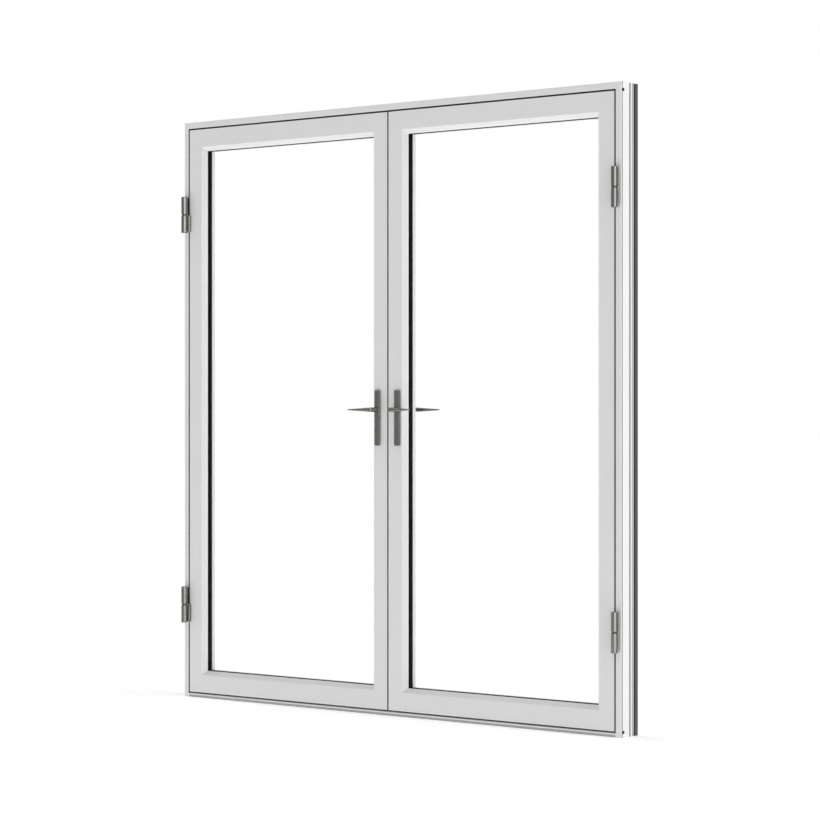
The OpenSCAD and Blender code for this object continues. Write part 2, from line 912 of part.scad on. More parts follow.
// A bolt: a round end in the guide and a flat rod that reaches into the lock case
module bolt(rod_end) {
    tip = 2;
    rod_len = leaf_h - bolt_sunk - rod_end;
    translate([bolt_in, leaf_mid, leaf_h - bolt_sunk - bolt_end])
        rotate_extrude()
            polygon([
                [0, 0], [bolt_r, 0], [bolt_r, bolt_end - tip], [bolt_r - tip, bolt_end], [0, bolt_end]
            ]);
    translate([bolt_in - rod_w / 2, leaf_mid - rod_t / 2, rod_end])
        cube([rod_w, rod_t, rod_len - bolt_end / 2]);
}

module top_bolt(side) {
    color(steel) in_leaf(side) bolt(spindle_z + case_above - rod_reach);
}

module bottom_bolt(side) {
    color(steel)
        in_leaf(side)
            translate([0, 0, leaf_h])
                mirror([0, 0, 1])
                    bolt(leaf_h - spindle_z + case_below - rod_reach);
}

// Stands a shape on the leaf's outer or inner face at the spindle: its z axis points away from the leaf
module on_face(side, outer) {
    in_leaf(side)
        translate([backset, outer ? 0 : leaf_t, spindle_z])
            mirror([0, outer ? 0 : 1, 0])
                rotate([90, 0, 0])
                    children();
}

// A long narrow plate with a crowned front, rounded corners and bevelled ends
module plate_shape() {
    crown_r = (plate_w * plate_w / 4 + plate_crown * plate_crown) / (2 * plate_crown);
    low = plate_above - plate_h;
    in_x = plate_w / 2 - plate_corner;
    in_top = plate_above - plate_corner;
    in_low = low + plate_corner;
    difference() {
        union() {
            intersection() {
                linear_extrude(plate_t)
                    polygon(concat(
                        arc([in_x, in_top], plate_corner, 0, 90),
                        arc([-in_x, in_top], plate_corner, 90, 180),
                        arc([-in_x, in_low], plate_corner, 180, 270),
                        arc([in_x, in_low], plate_corner, 270, 360)
                    ));
                translate([0, low - over, plate_t - crown_r])
                    rotate([-90, 0, 0])
                        cylinder(r = crown_r, h = plate_h + 2 * over);
                translate([-plate_w, 0, 0])
                    rotate([90, 0, 90])
                        linear_extrude(2 * plate_w)
                            polygon([
                                [low, 0], [low, plate_t - plate_bevel], [low + plate_bevel, plate_t],
                                [plate_above - plate_bevel, plate_t], [plate_above, plate_t - plate_bevel],
                                [plate_above, 0]
                            ]);
            }
            cylinder(r = collar_r, h = plate_t + collar_h);
        }
        translate([0, 0, -over]) cylinder(r = neck_r + fit, h = plate_t + collar_h + 2 * over);
        translate([0, -barrel_drop, -over]) cylinder(r = barrel_r + fit, h = plate_t + 2 * over);
    }
}

module outer_plate(side) { color(metal_grey) on_face(side, true) plate_shape(); }

module inner_plate(side) { color(metal_grey) on_face(side, false) plate_shape(); }

// The key barrel runs from plate to plate; each end has a keyway
module key_barrel(side) {
    proud = 0.6;
    reach = plate_t + proud;
    keyway = [1.6, 2 * barrel_r - 5, 3];
    color(metal_grey)
        difference() {
            in_leaf(side)
                translate([backset, -reach, spindle_z - barrel_drop])
                    rotate([-90, 0, 0])
                        cylinder(r = barrel_r, h = leaf_t + 2 * reach);
            for (outer = [true, false])
                on_face(side, outer)
                    translate([-keyway[0] / 2, -barrel_drop - keyway[1] / 2, reach - keyway[2]])
                        cube(keyway + [0, 0, over]);
        }
}

// A lever: a turned neck with a chamfered hub, and an arm that tapers to its tip
module lever_shape() {
    root_out = hub_out - hub_chamfer - lever_root_t / 2 + 4;
    root_h = 2 * neck_r - 0.6;
    foot = 2;
    difference() {
        union() {
            rotate_extrude()
                polygon([
                    [0, foot], [neck_r, foot], [neck_r, hub_out - hub_chamfer],
                    [neck_r - hub_chamfer, hub_out], [0, hub_out]
                ]);
            hull() {
                translate([0, 0, root_out]) arm_end(lever_root_t, root_h, neck_r / 2);
                translate([lever_len - 1.5, 0, lever_tip_out]) arm_end(lever_tip_t, lever_tip_h, 1);
                translate([lever_len - 0.5, 0, lever_tip_out]) arm_end(lever_tip_t - 2, lever_tip_h - 2, 0.5);
            }
        }
        translate([-spindle_s / 2, -spindle_s / 2, foot - over])
            cube([spindle_s, spindle_s, spindle_out - foot + over]);
    }
}

// A short oval slice across the arm
module arm_end(thick, height, length) {
    rotate([0, 90, 0])
        scale([thick / 2, height / 2, 1])
            cylinder(r = 1, h = length, $fn = 32);
}

module outer_lever(side) { color(metal_grey) on_face(side, true) lever_shape(); }

module inner_lever(side) { color(metal_grey) on_face(side, false) lever_shape(); }

// The square spindle with its round follower, which turns in the lock case
module spindle(side) {
    color(steel)
        in_leaf(side)
            translate([backset, 0, spindle_z]) {
                block([-spindle_s / 2, -spindle_out, -spindle_s / 2],
                      [spindle_s / 2, leaf_t + spindle_out, spindle_s / 2]);
                translate([0, leaf_mid - case_t / 2, 0])
                    rotate([-90, 0, 0])
                        cylinder(r = follower_r, h = case_t);
            }
}

jamb(side_left);  // jamb_left
jamb(side_right);  // jamb_right
head();
frame_cladding();
threshold();
threshold_base();
rear_strips();
frame_seal();
corner_plugs();
frame_hinges();
hinge_pins();
bolt_keepers();
hinge_stile(side_left);  // hinge_stile_left
hinge_stile(side_right);  // hinge_stile_right
lock_stile(side_left);  // lock_stile_left
lock_stile(side_right);  // lock_stile_right
top_rail(side_left);  // top_rail_left
top_rail(side_right);  // top_rail_right
bottom_rail(side_left);  // bottom_rail_left
bottom_rail(side_right);  // bottom_rail_right
leaf_cladding(side_left);  // leaf_cladding_left
leaf_cladding(side_right);  // leaf_cladding_right
outer_pane(side_left);  // outer_pane_left
outer_pane(side_right);  // outer_pane_right
inner_pane(side_left);  // inner_pane_left
inner_pane(side_right);  // inner_pane_right
pane_spacer(side_left);  // pane_spacer_left
pane_spacer(side_right);  // pane_spacer_right
glazing_gasket(side_left);  // glazing_gasket_left
glazing_gasket(side_right);  // glazing_gasket_right
glazing_tape(side_left);  // glazing_tape_left
glazing_tape(side_right);  // glazing_tape_right
glazing_beads(side_left);  // glazing_beads_left
glazing_beads(side_right);  // glazing_beads_right
glazing_blocks(side_left);  // glazing_blocks_left
glazing_blocks(side_right);  // glazing_blocks_right
meeting_seal(side_left);  // meeting_seal_left
meeting_seal(side_right);  // meeting_seal_right
leaf_hinges(side_left);  // leaf_hinges_left
leaf_hinges(side_right);  // leaf_hinges_right
lock_case(side_left);  // lock_case_left
lock_case(side_right);  // lock_case_right
lock_faceplate(side_left);  // lock_faceplate_left
lock_faceplate(side_right);  // lock_faceplate_right
outer_plate(side_left);  // outer_plate_left
outer_plate(side_right);  // outer_plate_right
inner_plate(side_left);  // inner_plate_left
inner_plate(side_right);  // inner_plate_right
key_barrel(side_left);  // key_barrel_left
key_barrel(side_right);  // key_barrel_right
outer_lever(side_left);  // outer_lever_left
outer_lever(side_right);  // outer_lever_right
inner_lever(side_left);  // inner_lever_left
inner_lever(side_right);  // inner_lever_right
spindle(side_left);  // spindle_left
spindle(side_right);  // spindle_right
top_bolt(side_left);  // top_bolt_left
top_bolt(side_right);  // top_bolt_right
bottom_bolt(side_left);  // bottom_bolt_left
bottom_bolt(side_right);  // bottom_bolt_right
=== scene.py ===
"""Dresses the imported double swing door: finishes, turned and swept details, light and camera.

Everything is in metres in the door's own frame: +X to the right seen from outside, +Y into the wall,
+Z up, with the origin under the middle of the threshold.
"""

from __future__ import annotations

import json
import logging
import math
from dataclasses import dataclass, field
from enum import Enum
from typing import Any, Callable, Iterable, Sequence

import bmesh
import bpy
from mathutils import Matrix, Vector

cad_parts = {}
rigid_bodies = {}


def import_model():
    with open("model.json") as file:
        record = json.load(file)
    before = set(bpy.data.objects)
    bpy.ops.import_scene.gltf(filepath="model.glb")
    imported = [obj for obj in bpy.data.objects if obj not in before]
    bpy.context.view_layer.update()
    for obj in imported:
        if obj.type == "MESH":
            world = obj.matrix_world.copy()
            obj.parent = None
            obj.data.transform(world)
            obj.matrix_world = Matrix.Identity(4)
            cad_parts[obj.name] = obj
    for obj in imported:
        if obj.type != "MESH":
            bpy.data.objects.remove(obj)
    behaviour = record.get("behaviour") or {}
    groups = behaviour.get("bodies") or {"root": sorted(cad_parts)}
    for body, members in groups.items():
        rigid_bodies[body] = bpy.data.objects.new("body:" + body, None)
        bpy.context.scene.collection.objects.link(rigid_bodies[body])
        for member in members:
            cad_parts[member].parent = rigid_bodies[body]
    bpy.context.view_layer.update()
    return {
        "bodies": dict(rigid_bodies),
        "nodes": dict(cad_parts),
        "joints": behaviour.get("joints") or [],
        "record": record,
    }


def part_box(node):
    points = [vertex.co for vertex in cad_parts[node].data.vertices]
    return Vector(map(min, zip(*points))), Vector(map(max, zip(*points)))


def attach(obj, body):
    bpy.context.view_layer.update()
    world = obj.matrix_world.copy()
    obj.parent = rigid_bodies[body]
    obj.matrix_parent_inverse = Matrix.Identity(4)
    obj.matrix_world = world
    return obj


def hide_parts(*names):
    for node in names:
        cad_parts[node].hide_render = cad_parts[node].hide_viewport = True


LOG = logging.getLogger("door")
MM = 0.001
# The gap round the leaves
GAP = 4.5 * MM
# Corners nearer to each other than this become one
MERGE = 0.01 * MM
WHITE = (1.0, 1.0, 1.0)

Point = tuple[float, float]
Triple = tuple[float, float, float]
Colour = Triple


class Named(Enum):
    """An Enum whose members appear in the names of nodes."""

    @property
    def word(self) -> str:
        """The member's name as the nodes spell it."""
        return self.name.lower()


class Side(Named):
    """The two leaves, by the sign of their X."""

    LEFT = -1
    RIGHT = 1


class Face(Named):
    """The two faces of a leaf, by the sign of their outward Y."""

    OUTER = -1
    INNER = 1


class Axis(Enum):
    """The way a timber's grain runs: how many times finer it is along X, Y and Z."""

    X = (1.0, 14.0, 14.0)
    Z = (14.0, 14.0, 1.0)


class Smooth(Enum):
    """The turn in degrees below which an edge is shaded smooth, by the kind of piece."""

    SCREW = 20.0
    CAST = 35.0
    PLAIN = 40.0
    RUBBER = 50.0


# Shader graphs


class Wire:
    """A shader value that can be used in Python arithmetic."""

    def __init__(self, graph: Graph, socket: bpy.types.NodeSocket) -> None:
        """Holds an output socket of a graph."""
        self.graph = graph
        self.socket = socket

    def _math(self, operation: str, first: Any, second: Any) -> Wire:
        """The value of one Math node for two wires or numbers."""
        return self.graph.wire("ShaderNodeMath", {"operation": operation}, {0: first, 1: second})

    def __add__(self, other: Any) -> Wire:
        """Self plus other."""
        return self._math("ADD", self, other)

    __radd__ = __add__

    def __mul__(self, other: Any) -> Wire:
        """Self times other."""
        return self._math("MULTIPLY", self, other)

    __rmul__ = __mul__

    def __sub__(self, other: Any) -> Wire:
        """Self minus other."""
        return self._math("SUBTRACT", self, other)

    def __rsub__(self, other: Any) -> Wire:
        """Other minus self."""
        return self._math("SUBTRACT", other, self)

    def at_least(self, other: Any) -> Wire:
        """The larger of self and other."""
        return self._math("MAXIMUM", self, other)

    def magnitude(self) -> Wire:
        """Self without its sign."""
        return self.at_least(0.0 - self)


class Graph:
    """A node tree that is emptied and built up again."""

    def __init__(self, tree: bpy.types.NodeTree) -> None:
        """Takes over the node tree of a material or a world."""
        self.tree = tree
        tree.nodes.clear()

    def node(self, kind: str, settings: dict[str, Any] | None = None,
             sockets: dict[Any, Any] | None = None) -> bpy.types.Node:
        """Adds one node.

        Args:
            kind: the node's type.
            settings: its attributes, set first.
            sockets: values, wires or output sockets for its inputs, by name or number.

        Returns:
            The new node.
        """
        made = self.tree.nodes.new(kind)
        for name, value in (settings or {}).items():
            setattr(made, name, value)
        for name, value in (sockets or {}).items():
            self.feed(made.inputs[name], value)
        return made

    def feed(self, target: bpy.types.NodeSocket, value: Any) -> None:
        """Links or sets one input.

        Args:
            target: the input socket.
            value: a wire, an output socket, a colour or a number.
        """
        if isinstance(value, Wire):
            value = value.socket
        if isinstance(value, bpy.types.NodeSocket):
            self.tree.links.new(value, target)
        elif isinstance(value, tuple) and len(value) == 3 and target.type == "RGBA":
            target.default_value = (*value, 1.0)
        else:
            target.default_value = value

    def wire(self, kind: str, settings: dict[str, Any] | None = None,
             sockets: dict[Any, Any] | None = None, output: Any = 0) -> Wire:
        """Adds a node, as node() does, and returns one of its outputs by name or number."""
        return Wire(self, self.node(kind, settings, sockets).outputs[output])

    def noise(self, scale: float, detail: float, stretch: Triple) -> Wire:
        """A soft noise between 0 and 1, by the surface's own place in metres.

        Args:
            scale: how many cells to a metre.
            detail: how many finer layers it has.
            stretch: how many times finer along X, Y and Z.

        Returns:
            The noise.
        """
        here = self.wire("ShaderNodeTexCoord", output="Object")
        place = self.wire("ShaderNodeMapping", None, {"Vector": here, "Scale": stretch})
        return self.wire("ShaderNodeTexNoise", None, {"Vector": place, "Scale": scale, "Detail": detail})

    def blend_colours(self, share: Any, first: Colour, second: Colour) -> Wire:
        """A colour between two, by the share of the second; 6, 7 and 2 are the node's colour sockets."""
        return self.wire("ShaderNodeMix", {"data_type": "RGBA"}, {0: share, 6: first, 7: second}, 2)

    def bump(self, height: Wire, strength: float, depth: float) -> Wire:
        """A normal that follows a height from 0 to 1, whose real depth is in metres."""
        return self.wire("ShaderNodeBump", None, {"Strength": strength, "Distance": depth, "Height": height})

    def ramp(self, value: Wire, ends: Point) -> Wire:
        """A smooth step by a value: the ends are where it leaves 0 and reaches 1."""
        return self.wire("ShaderNodeMapRange", {"interpolation_type": "SMOOTHSTEP"},
                         {"Value": value, "From Min": ends[0], "From Max": ends[1]})

    def glow(self, strength: Wire) -> Wire:
        """A white emission."""
        return self.wire("ShaderNodeEmission", None, {"Color": WHITE, "Strength": strength})

    def rays(self, *kinds: str) -> Wire:
        """1 for light paths of some kinds, and 0 for the others.

        Args:
            kinds: the kinds, as Light Path spells them.

        Returns:
            The share.
        """
        path = self.node("ShaderNodeLightPath")
        share, *others = (Wire(self, path.outputs[f"Is {kind} Ray"]) for kind in kinds)
        for other in others:
            share = share.at_least(other)
        return share


# Finishes


def grey(part: float) -> Colour:
    """A colour with three equal parts."""
    return (part, part, part)


def shade(colour: Colour, share: float) -> Colour:
    """A colour times a share, at most 1 in each part."""
    return tuple(min(1.0, part * share) for part in colour)  # type: ignore[return-value]


@dataclass(frozen=True)
class Finish:
    """A surface finish that makes one Blender material."""

    name: str
    colour: Colour

    def material(self) -> bpy.types.Material:
        """Makes the material.

        Returns:
            The new material.
        """
        made = bpy.data.materials.new(self.name)
        made.use_nodes = True
        made.diffuse_color = (*self.colour, 1.0)
        graph = Graph(made.node_tree)
        graph.node("ShaderNodeOutputMaterial", None, {"Surface": self.surface(graph)})
        return made

    def surface(self, graph: Graph) -> Wire:
        """The finish's shader; each kind of finish has its own."""
        raise NotImplementedError


@dataclass(frozen=True)
class Grained(Finish):
    """An opaque finish that noise tints, dulls and roughens.

    A layer of noise is given by its cells to a metre and the number of its finer layers. The tint's
    span is the darkest and the lightest share of the colour, the sheen's swing is how far the roughness
    goes up and down, and the relief's bump is its strength and its depth. What the relief's share
    leaves over follows the tint.
    """

    roughness: float = 0.5
    gloss: float = 0.5
    metallic: float = 0.0
    stretch: Triple = (1.0, 1.0, 1.0)
    tint: Point = (10.0, 2.0)
    tint_span: Point = (0.95, 1.05)
    sheen: Point = (10.0, 2.0)
    sheen_swing: float = 0.05
    relief: Point = (1000.0, 2.0)
    relief_bump: Point = (0.15, 0.1 * MM)
    relief_share: float = 1.0

    def surface(self, graph: Graph) -> Wire:
        """The finish's shader.

        Args:
            graph: the graph to build in.

        Returns:
            The shader.
        """
        wanted = dict.fromkeys((self.tint, self.sheen, self.relief))
        layers = {layer: graph.noise(*layer, self.stretch) for layer in wanted}
        height = layers[self.relief]
        if self.relief_share < 1.0:
            height = (1.0 - self.relief_share) * layers[self.tint] + self.relief_share * height
        dark, light = (shade(self.colour, share) for share in self.tint_span)
        smoothest = self.roughness - self.sheen_swing
        return graph.wire("ShaderNodeBsdfPrincipled", None, {
            "Base Color": graph.blend_colours(layers[self.tint], dark, light),
            "Metallic": self.metallic,
            "Roughness": smoothest + 2.0 * self.sheen_swing * layers[self.sheen],
            "Specular IOR Level": self.gloss,
            "Normal": graph.bump(height, *self.relief_bump),
        })


@dataclass(frozen=True)
class PowderCoat(Grained):
    """A baked coat with a fine orange peel and a few faint clouds."""

    roughness: float = 0.42
    tint: Point = (3.0, 3.0)
    tint_span: Point = (0.985, 1.015)
    sheen: Point = (3.0, 3.0)
    relief: Point = (700.0, 1.0)
    relief_bump: Point = (0.12, 0.12 * MM)


@dataclass(frozen=True)
class PaintedTimber(Grained):
    """Opaque paint over timber, with a trace of the grain and of the brush."""

    roughness: float = 0.41
    tint: Point = (22.0, 4.0)
    tint_span: Point = (0.97, 1.02)
    sheen: Point = (120.0, 2.0)
    sheen_swing: float = 0.07
    relief: Point = (120.0, 2.0)
    relief_bump: Point = (0.16, 0.3 * MM)
    relief_share: float = 0.4


@dataclass(frozen=True)
class SatinMetal(Grained):
    """Satin cast metal with a faint mottled grain."""

    roughness: float = 0.22
    metallic: float = 0.9
    tint: Point = (30.0, 2.0)
    tint_span: Point = (0.93, 1.07)
    sheen: Point = (260.0, 3.0)
    sheen_swing: float = 0.06
    relief: Point = (260.0, 3.0)
    relief_bump: Point = (0.05, 0.1 * MM)


@dataclass(frozen=True)
class DrawnSteel(Grained):
    """Plated steel with fine lines along its length."""

    roughness: float = 0.28
    metallic: float = 1.0
    stretch: Triple = (1.0, 1.0, 0.04)
    tint: Point = (900.0, 2.0)
    tint_span: Point = (0.92, 1.05)
    sheen: Point = (900.0, 2.0)
    sheen_swing: float = 0.07
    relief: Point = (900.0, 2.0)
    relief_bump: Point = (0.08, 0.08 * MM)


@dataclass(frozen=True)
class Rubber(Grained):
    """Matt extruded rubber with a dusty bloom."""

    roughness: float = 0.72
    gloss: float = 0.12
    tint: Point = (45.0, 4.0)
    tint_span: Point = (0.9, 1.12)
    sheen: Point = (45.0, 4.0)
    sheen_swing: float = 0.06
    relief: Point = (1500.0, 1.0)
    relief_bump: Point = (0.2, 0.1 * MM)


@dataclass(frozen=True)
class MouldedPlastic(Grained):
    """Matt moulded plastic with a fine spark-eroded grain."""

    roughness: float = 0.55
    gloss: float = 0.4
    tint: Point = (8.0, 2.0)
    sheen: Point = (1100.0, 2.0)
    relief: Point = (1100.0, 2.0)


@dataclass(frozen=True)
class FloatGlass(Finish):
    """Clear float glass: light passes, and a share by the angle is mirrored."""

    mirror: Colour = (0.95, 0.97, 0.96)
    mirror_roughness: float = 0.02
    straight: float = 0.001
    grazing: float = 0.6

    def surface(self, graph: Graph) -> Wire:
        """The glass's shader.

        Args:
            graph: the graph to build in.

        Returns:
            The shader.
        """
        clear = graph.wire("ShaderNodeBsdfTransparent", None, {"Color": self.colour})
        mirror = graph.wire("ShaderNodeBsdfPrincipled", None, {
            "Base Color": self.mirror, "Metallic": 1.0, "Roughness": self.mirror_roughness})
        graze = graph.wire("ShaderNodeLayerWeight", None, {"Blend": 0.5}, "Facing")
        square = graze * graze
        share = self.straight + (self.grazing - self.straight) * (square * square * graze)
        return graph.wire("ShaderNodeMixShader", None, {0: share, 1: clear, 2: mirror})


@dataclass(frozen=True)
class Palette:
    """The door's finishes, by the record's material slots."""

    coat: Finish = PowderCoat("coat_light_grey", grey(0.78))
    timber_upright: Finish = PaintedTimber("paint_white_upright", (0.8, 0.8, 0.79), stretch=Axis.Z.value)
    timber_level: Finish = PaintedTimber("paint_white_level", (0.8, 0.8, 0.79), stretch=Axis.X.value)
    grey_plastic: Finish = MouldedPlastic("plastic_dark_grey", grey(0.08))
    black_plastic: Finish = MouldedPlastic("plastic_black", grey(0.004), 0.6, 0.1)
    rubber: Finish = Rubber("rubber_black", grey(0.006))
    tape: Finish = Rubber("tape_pale", grey(0.9), 0.6)
    glass: Finish = FloatGlass("glass_clear", (0.999, 1.0, 0.9995))
    metal: Finish = SatinMetal("metal_warm_grey", (0.245, 0.24, 0.222))
    pin: Finish = SatinMetal("metal_dark_grey", (0.09, 0.088, 0.08))
    steel: Finish = DrawnSteel("steel_plated", (0.62, 0.62, 0.61))
    # Mid grey that paints the shade in the shallow groove of the frame's sides
    groove_strip: Finish = MouldedPlastic("strip_mid_grey", grey(0.28))
    # Light grey that makes the recessed band darker than the white side
    band_tape: Finish = Rubber("band_light_grey", grey(0.4), 0.65)
    # Mid grey that paints the shade on the threshold's base, which sits back under its nose
    sill_base: Finish = PowderCoat("coat_mid_grey", grey(0.42), 0.5)
    # Near black that paints the shade on the rear strips' slopes
    fin: Finish = Rubber("fin_dark_grey", grey(0.016), 0.7)

    def for_node(self, node: str, slot: str, tall: bool) -> Finish:
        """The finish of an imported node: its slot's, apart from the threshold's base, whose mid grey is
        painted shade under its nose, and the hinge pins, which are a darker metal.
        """
        own = {"threshold_base": self.sill_base, "hinge_pins": self.pin}
        return own.get(node) or self.for_slot(slot, tall)

    def for_slot(self, slot: str, tall: bool = True) -> Finish:
        """The finish of a material slot.

        Args:
            slot: the record's slot.
            tall: whether the piece is longest upright.

        Returns:
            The finish.
        """
        return {
            "coated_aluminium": self.coat,
            "painted_timber": self.timber_upright if tall else self.timber_level,
            "dark_plastic": self.grey_plastic,
            "black_plastic": self.black_plastic,
            "black_rubber": self.rubber,
            "white_tape": self.tape,
            "clear_glass": self.glass,
            "grey_metal": self.metal,
            "bright_steel": self.steel,
        }[slot]


@dataclass
class Paintbox:
    """Keeps one material for each finish and puts it on objects."""

    palette: Palette = field(default_factory=Palette)
    made: dict[str, bpy.types.Material] = field(default_factory=dict)

    def material(self, finish: Finish) -> bpy.types.Material:
        """The material of a finish.

        Args:
            finish: the finish.

        Returns:
            The material, made once.
        """
        if finish.name not in self.made:
            self.made[finish.name] = finish.material()
        return self.made[finish.name]

    def dress_nodes(self, frame: dict[str, Any]) -> None:
        """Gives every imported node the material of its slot.
        """
        for entry in frame["record"]["subparts"]:
            name = entry["node"]
            node = frame["nodes"][name]
            low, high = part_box(name)
            tall = high.z - low.z >= high.x - low.x
            made = self.material(self.palette.for_node(name, entry["material_slot"], tall))
            if not node.material_slots:
                node.data.materials.append(made)
            for slot in node.material_slots:
                slot.material = made
        LOG.info("finishes: %d on %d nodes", len(self.made), len(frame["nodes"]))


# Mesh building


def facing(at: Sequence[float], way: Sequence[float]) -> Matrix:
    """A place whose Z points a given way."""
    return Matrix.Translation(Vector(at)) @ Vector(way).to_track_quat("Z", "Y").to_matrix().to_4x4()


def mirror(middle: Vector, way: Sequence[float]) -> Matrix:
    """A mirror through a point that turns one direction round."""
    return Matrix.Translation(middle) @ Matrix.Scale(-1, 4, Vector(way)) @ Matrix.Translation(-middle)


def add_object(name: str, data: bpy.types.ID) -> bpy.types.Object:
    """Adds an object at the origin to the scene.

    Args:
        name: its name.
        data: its mesh, lamp or camera.

    Returns:
        The object.
    """
    made = bpy.data.objects.new(name, data)
    bpy.context.scene.collection.objects.link(made)
    return made


@dataclass
class Piece:
    """A new piece of the scene: its mesh, what carries it and its slot."""

    # A screw head's corners, and its steps inwards and up as shares of its radius
    SCREW_CORNERS = 12
    SCREW_STEPS = ((0.12, 0.08), (0.4, 0.05), (0.04, -0.3))

    name: str
    body: str
    slot: str
    mesh: bmesh.types.BMesh = field(default_factory=bmesh.new)

    def finish(self, paint: Paintbox, replaces: Sequence[str] = (), smooth: Smooth = Smooth.PLAIN,
               coat: Finish | None = None) -> None:
        """Turns the mesh into an object that rides on its body.

        Args:
            paint: where its material comes from.
            replaces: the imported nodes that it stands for.
            smooth: which of its edges are shaded smooth.
            coat: a finish of its own, where it isn't its slot's.
        """
        bmesh.ops.remove_doubles(self.mesh, verts=self.mesh.verts, dist=MERGE)
        bmesh.ops.recalc_face_normals(self.mesh, faces=self.mesh.faces)
        limit = math.radians(smooth.value)
        for face in self.mesh.faces:
            face.smooth = True
        for edge in self.mesh.edges:
            edge.smooth = len(edge.link_faces) == 2 and edge.calc_face_angle(0.0) < limit
        data = bpy.data.meshes.new(self.name)
        self.mesh.to_mesh(data)
        self.mesh.free()
        made = add_object(self.name, data)
        data.materials.append(paint.material(coat or paint.palette.for_slot(self.slot)))
        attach(made, self.body)
        if replaces:
            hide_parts(*replaces)
        LOG.info("piece %s: %d faces on %s", self.name, len(data.polygons), self.body)

    def _linked(self, seeds: Iterable[bmesh.types.BMVert]) -> list[bmesh.types.BMVert]:
        """The vertices that hang together with some.

        Args:
            seeds: where to start.

        Returns:
            All vertices that edges join to them.
        """
        found: dict[bmesh.types.BMVert, None] = {}
        queue = list(seeds)
        while queue:
            vert = queue.pop()
            if vert not in found:
                found[vert] = None
                queue.extend(edge.other_vert(vert) for edge in vert.link_edges)
        return list(found)

    def _edges_of(self, verts: Iterable[bmesh.types.BMVert]) -> list[bmesh.types.BMEdge]:
        """The edges at some vertices, each once."""
        return list(dict.fromkeys(edge for vert in verts for edge in vert.link_edges))

    def _outline(self, points: Iterable[Sequence[float]]) -> list[bmesh.types.BMEdge]:
        """Draws a closed loop through points and returns its edges."""
        verts = [bmesh.ops.create_vert(self.mesh, co=point)["vert"][0] for point in points]
        return [self.mesh.edges.new((verts[i - 1], verts[i])) for i in range(len(verts))]

    def _grow(self, edges: Sequence[bmesh.types.BMEdge], move: Matrix) -> list[bmesh.types.BMEdge]:
        """Extrudes a loop of edges and moves the new one.

        Args:
            edges: the loop.
            move: where the new loop goes, from the old one.

        Returns:
            The new loop.
        """
        grown = bmesh.ops.extrude_edge_only(self.mesh, edges=edges)["geom"]
        fresh = [g for g in grown if isinstance(g, bmesh.types.BMVert)]
        bmesh.ops.transform(self.mesh, matrix=move, verts=fresh)
        return [g for g in grown if isinstance(g, bmesh.types.BMEdge)]

    def turn(self, profile: Sequence[Point], place: Matrix, steps: int = 40) -> None:
        """Turns a profile round its own Z axis.

        Args:
            profile: pairs of radius and height, from the axis or an edge to the axis or an edge.
            place: where the turned shape stands.
            steps: how many steps a full turn has.
        """
        verts = [bmesh.ops.create_vert(self.mesh, co=(r, 0.0, z))["vert"][0] for r, z in profile]
        edges = [self.mesh.edges.new(pair) for pair in zip(verts, verts[1:])]
        bmesh.ops.spin(self.mesh, geom=[*verts, *edges], cent=(0, 0, 0), axis=(0, 0, 1),
                       angle=math.tau, steps=steps, use_merge=True)
        fresh = self._linked(verts)
        bmesh.ops.remove_doubles(self.mesh, verts=fresh, dist=0.5 * MERGE)
        bmesh.ops.transform(self.mesh, matrix=place, verts=[vert for vert in fresh if vert.is_valid])

    def ring(self, profile: Sequence[Point], low: Vector, high: Vector) -> None:
        """Runs a profile round the four sides of an upright rectangle, with mitred corners.

        Args:
            profile: pairs of inset from the rectangle and depth along Y, a closed loop.
            low: the rectangle's lowest corner; its Y is where the depth starts.
            high: the rectangle's highest corner.
        """
        edges = self._outline((low.x + u, low.y + d, low.z + u) for u, d in profile)
        for way in ((1, 0, 0), (0, 0, 1)) * 2:
            edges = self._grow(edges, mirror((low + high) / 2, way))

    def arch(self, profile: Sequence[Point], low: Vector, high: Vector) -> None:
        """Runs a profile up the left side, over the top and down the right side of a rectangle.

        Args:
            profile: pairs of inset from the rectangle and depth along Y, a closed loop.
            low: the rectangle's lowest corner; its Y is where the depth starts.
            high: the rectangle's highest corner.
        """
        corner = self._outline((low.x + u, low.y + d, high.z - u) for u, d in profile)
        to_foot = Matrix.Translation((0, 0, low.z)) @ Matrix.Diagonal((1.0, 1.0, 0.0, 1.0))
        far = self._grow(corner, mirror((low + high) / 2, (1, 0, 0)))
        for edges in (corner, far):
            bmesh.ops.contextual_create(self.mesh, geom=self._grow(edges, to_foot))

    def loft(self, stations: Sequence[Sequence[float]], place: Matrix, segments: int = 32) -> None:
        """Runs an oval along X through stations and closes both ends.

        Args:
            stations: x, middle height along Z, and the half sizes along Y and Z.
            place: where the shape stands.
            segments: how many points an oval has.
        """
        def oval(x: float, z: float, half_y: float, half_z: float) -> Matrix:
            """A station's place and size."""
            return Matrix.Translation((x, 0.0, z)) @ Matrix.Diagonal((1.0, half_y, half_z, 1.0))

        start = bmesh.ops.create_circle(self.mesh, cap_ends=True, segments=segments, radius=1.0,
                                        matrix=Matrix.Rotation(math.pi / 2, 4, "Y"))["verts"]
        edges, last = self._edges_of(start), oval(*stations[0])
        bmesh.ops.transform(self.mesh, matrix=last, verts=start)
        for station in stations[1:]:
            step = oval(*station)
            edges, last = self._grow(edges, step @ last.inverted()), step
        bmesh.ops.contextual_create(self.mesh, geom=edges)
        bmesh.ops.transform(self.mesh, matrix=place, verts=self._linked(start))

    def slab(self, low: Sequence[float], high: Sequence[float], edge: float) -> None:
        """Adds a block with rounded edges.

        Args:
            low: its lowest corner.
            high: its highest corner.
            edge: the width of the rounded edges.
        """
        corner, far = Vector(low), Vector(high)
        place = Matrix.Translation((corner + far) / 2) @ Matrix.Diagonal((*(far - corner), 1.0))
        verts = bmesh.ops.create_cube(self.mesh, size=1.0, matrix=place)["verts"]
        bmesh.ops.bevel(self.mesh, geom=self._edges_of(verts), offset=edge, affect="EDGES", segments=2,
                        profile=0.5, material=-1)

